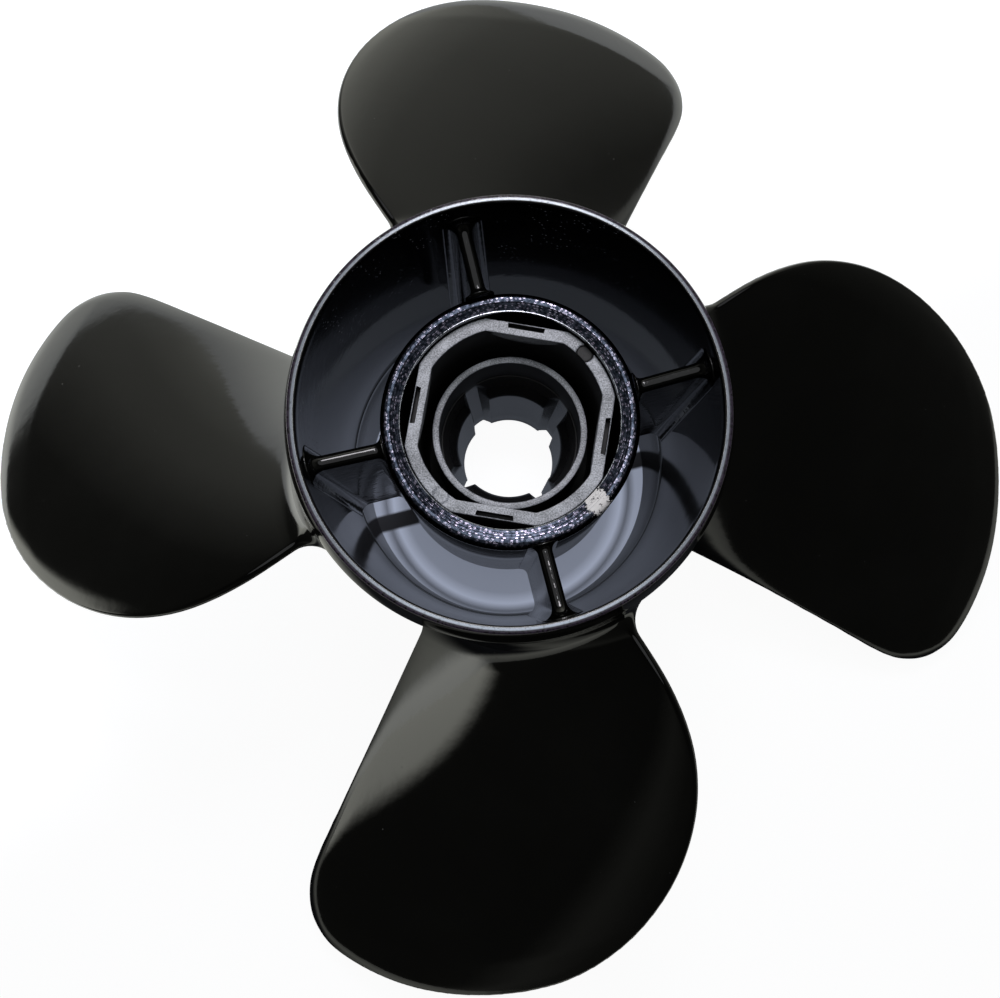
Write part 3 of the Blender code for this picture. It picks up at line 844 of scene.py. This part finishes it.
def grained_moulding(name, dark, light, grain=0.5):
    """Dark moulded plastic, glossier in the bore, its end faces pale and grainy partly from wear
    and partly as painted light.
    """
    finish = Finish(name)
    spot, x, y, z = finish.place()
    radius = off_axis(x, y)
    grains = finish.noise(spot, 2300.0, 2.0, 0.6)
    cloud = finish.noise(spot, 120.0, 4.0, 0.6)
    speck = finish.cells(spot, 1700.0)
    frame_end = z.above(up(INSERT_DEPTH + 0.5) * MM, up(INSERT_DEPTH + 0.2) * MM)
    tube_end = (z.above(up(TUBE_DEPTH + 0.3) * MM, up(TUBE_DEPTH + 0.1) * MM)
                * radius.below((TUBE + 0.2) * MM, (TUBE + 0.6) * MM))
    # Painted light: the wall beyond each flat's lip, where light falls, is painted paler
    lit_flat_wall = (z.above(up(INSERT_DEPTH + 9) * MM, up(INSERT_DEPTH + 4) * MM)
                 * radius.below(27.0 * MM, 27.8 * MM)
                 * radius.above((TUBE + 0.6) * MM, (TUBE + 1.0) * MM))
    # End faces painted pale partly for wear and partly for the light they catch
    worn_and_lit = frame_end.most(tube_end).most(lit_flat_wall * 0.6)
    tone = (grains * 0.6 + cloud * 0.4).above(0.36, 0.64)
    colour = finish.mix(tone, dark, light)
    rubbed_and_lit = finish.mix(tone, RUBBED_LIT_DARK, RUBBED_LIT_PALE)
    colour = finish.mix(worn_and_lit, colour, rubbed_and_lit)
    pits = speck.below(0.08, 0.2) * worn_and_lit
    colour = finish.mix(pits * 0.5, colour, GRAIN_PIT)
    height = grains * grain + speck * grain * 0.5
    bore = (z.below(up(LAND_DEPTH + 5.0) * MM, up(LAND_DEPTH + 1.0) * MM)
            * radius.below((TUBE_BORE + 0.2) * MM, (TUBE_BORE + 0.5) * MM))
    return finish.close(
        Base_Color=colour, Roughness=0.55 - bore * 0.4 - worn_and_lit * 0.22 + grains * 0.1, IOR=1.5,
        Normal=finish.bump(height, 0.5, 0.00006))


def pale_floor(name):
    """A pale floor that looks white all round and in the bore, as on a cut-out photograph.

    In the passages it is greyer, with the soft shadows of the barrel's foot and two webs.
    The paint mirrors a floor that is dim on the side away from the window.
    """
    finish = Finish(name)
    _, x, y, _ = finish.place()
    radius = off_axis(x, y)
    seen = Wire(finish, finish.node("ShaderNodeLightPath").outputs["Is Camera Ray"])
    mirrored = 1.0 - seen
    passage = radius.above(0.031, 0.033) * radius.below(0.056, 0.060)
    lit = (y - x * 0.6).above(-0.05, 0.10).most(radius.below(0.052, 0.058))
    beside_web = x * 0.252 - y * 0.968
    shade = beside_web.above(0.0024, 0.0036) * beside_web.below(0.0084, 0.0098)
    colour = finish.mix(lit, FLOOR_DIM, FLOOR_LIT)
    colour = finish.mix(shade * passage * 0.8, colour, FLOOR_SHADE)

    outward = (off_axis(x, y - POOL_CENTRE) - POOL_START) / POOL_WIDTH
    stops = [(share, [tint * tone for tint in POOL_TINT]) for share, tone in POOL_TONES]
    pool = finish.node("ShaderNodeValToRGB", {"stops": stops}, {0: outward}).outputs[0]
    pool = finish.mix(shade, pool, WEB_SHADOW)
    dimmed = 0.46 - x.above(0.0, 0.03) * 0.18
    glow = finish.mix(passage * dimmed.most(seen), NO_GLOW, pool)
    glow = finish.mix(radius.below(0.031, 0.033) * mirrored, glow, BORE_GLOW)
    bright = (lit * radius.above(0.060, 0.063)).most(radius.above(0.19, 0.25) * 0.6)
    around_barrel = finish.mix(radius.above(0.16, 0.36), WINDOW_GLOW, OUTER_GLOW)
    glow = finish.mix(bright * mirrored, glow, around_barrel)
    west = x.below(-0.24, -0.15) * y.above(-0.16, -0.10) * y.below(0.05, 0.14)
    glow = finish.mix(west * mirrored, glow, WEST_GLOW)
    glow = finish.mix((1.0 - passage) * seen, glow, FLOOR_WHITE)
    return finish.close(Base_Color=colour, Roughness=0.7, Emission_Color=glow,
                        Emission_Strength=1.0)


# Studio

FLOOR_RADIUS = 0.36
COOL_WHITE = (0.95, 0.97, 1.0)
ROSY_WHITE = (0.98, 0.94, 1.0)
LIGHT_AIM = Vector((0.0, 0.0, 0.08))

# The camera fitted to the photograph, in millimetres, radians and widths of the image
CAMERA_PLACE = Vector((-3.33, -72.19, 538.56))
CAMERA_TURN_X = -0.2055
CAMERA_TURN_Y = 0.0497
FOCAL_LENGTH = 1.4296
SENSOR_WIDTH = 36.0
SHIFT_X = -0.06945
SHIFT_Y = -0.1259

# Brightness of the walls by bearing, as a share of a full turn; 0.5 is straight ahead
WALL_TONES = (
    (0.0, 0.02), (0.04, 0.04), (0.065, 0.10), (0.085, 0.02), (0.30, 0.03), (0.335, 0.03),
    (0.352, 0.04), (0.375, 0.14), (0.40, 0.28), (0.422, 0.33), (0.444, 0.48), (0.467, 0.82),
    (0.486, 1.3), (0.50, 1.4), (0.52, 1.1), (0.544, 0.62), (0.564, 0.42), (0.59, 0.35),
    (0.625, 0.27), (0.65, 0.18), (0.675, 0.11), (0.733, 0.10), (0.78, 0.03), (1.0, 0.02),
)
WALL_TINT = (0.99, 1.0, 0.90, 1.0)
WALL_DARKEST = 0.015
BACKDROP = (0.98, 0.985, 1.0, 1.0)


def make_floor(finish):
    """A round pale floor under the propeller."""
    shape = bmesh.new()
    bmesh.ops.create_circle(shape, cap_ends=True, segments=128, radius=FLOOR_RADIUS)
    mesh = bpy.data.meshes.new("floor")
    shape.to_mesh(mesh)
    shape.free()
    mesh.materials.append(finish.material)
    floor = bpy.data.objects.new("floor", mesh)
    bpy.context.scene.collection.objects.link(floor)


def make_camera():
    """The camera fitted to the photograph: a steep look down on the front end."""
    data = bpy.data.cameras.new("camera")
    data.sensor_width = SENSOR_WIDTH
    data.lens = FOCAL_LENGTH * SENSOR_WIDTH
    data.shift_x = SHIFT_X
    data.shift_y = SHIFT_Y
    data.clip_start = 0.01
    data.clip_end = 20.0
    camera = bpy.data.objects.new("camera", data)
    turn = Matrix.Rotation(CAMERA_TURN_X, 3, "X") @ Matrix.Rotation(CAMERA_TURN_Y, 3, "Y")
    camera.matrix_world = Matrix.Translation(CAMERA_PLACE * MM) @ turn.transposed().to_4x4()
    bpy.context.scene.collection.objects.link(camera)
    bpy.context.scene.camera = camera


def soft_light(name, place, size, power, tint):
    """A round lamp over the propeller, turned to its middle."""
    data = bpy.data.lights.new(name, "AREA")
    data.shape = "DISK"
    data.size = size
    data.energy = power
    data.color = tint
    light = bpy.data.objects.new(name, data)
    light.location = place
    light.rotation_euler = (LIGHT_AIM - Vector(place)).to_track_quat("-Z", "Y").to_euler()
    bpy.context.scene.collection.objects.link(light)


def make_studio_walls():
    """The room round the floor: dark, with a broad bright window ahead and a low one on the left.

    The camera sees a pale backdrop instead.
    """
    world = bpy.data.worlds.new("studio")
    bpy.context.scene.world = world
    world.use_nodes = True
    walls = Finish("studio", world.node_tree)
    x, y, z = walls.parts(walls.node("ShaderNodeTexCoord").outputs["Generated"])
    bearing = x.maths("ARCTAN2", x, y) / math.tau + 0.5
    # A ramp holds nothing brighter than 1, so it holds half of each tone
    stops = [(share, [tone / 2] * 3) for share, tone in WALL_TONES]
    ahead = walls.node("ShaderNodeValToRGB", {"stops": stops}, {0: bearing}).outputs[0]
    ahead = Wire(walls, walls.node("ShaderNodeSeparateColor", None, {0: ahead}).outputs[0]) * 2.0
    ahead = ahead * z.below(0.35, 0.75)
    left = bearing.above(0.206, 0.224) * bearing.below(0.285, 0.306) * z.below(0.0, 0.15)
    glow = ahead.most(left * 2.1) + WALL_DARKEST
    seen = walls.node("ShaderNodeLightPath").outputs["Is Camera Ray"]
    room = walls.node("ShaderNodeBackground", None, {"Color": WALL_TINT, "Strength": glow})
    backdrop = walls.node("ShaderNodeBackground", None, {"Color": BACKDROP, "Strength": 1.0})
    both = walls.node("ShaderNodeMixShader", None, {
        0: seen, 1: room.outputs[0], 2: backdrop.outputs[0]})
    walls.node("ShaderNodeOutputWorld", None, {0: both.outputs[0]})


def make_studio():
    make_floor(pale_floor("pale_floor"))
    make_camera()
    make_studio_walls()
    soft_light("ceiling", (0.0, 0.10, 1.20), size=1.8, power=5.0, tint=COOL_WHITE)
    soft_light("overhead", (0.0, 0.19, 1.15), size=0.2, power=0.95, tint=COOL_WHITE)
    soft_light("high_window", (0.0, 0.53, 1.05), size=0.36, power=4.2, tint=ROSY_WHITE)
    bpy.context.scene.view_settings.view_transform = "Standard"


def make_propeller():
    paint = gloss_black("gloss_black")
    moulding = grained_moulding("grained_moulding", DARK_MOULDING, FRAME_MOULDING)
    make_barrel(gloss_black("gloss_black_rim", rim=True))
    make_hub(paint, turned_metal("turned_metal"))
    make_webs(gloss_black("gloss_black_webs", lumps=0.8))
    make_blades(paint)
    make_insert(moulding)
    make_tube(moulding)
    make_lands(grained_moulding("smooth_moulding", DARK_MOULDING, STRIP_MOULDING, grain=0.1))


make_propeller()
make_studio()
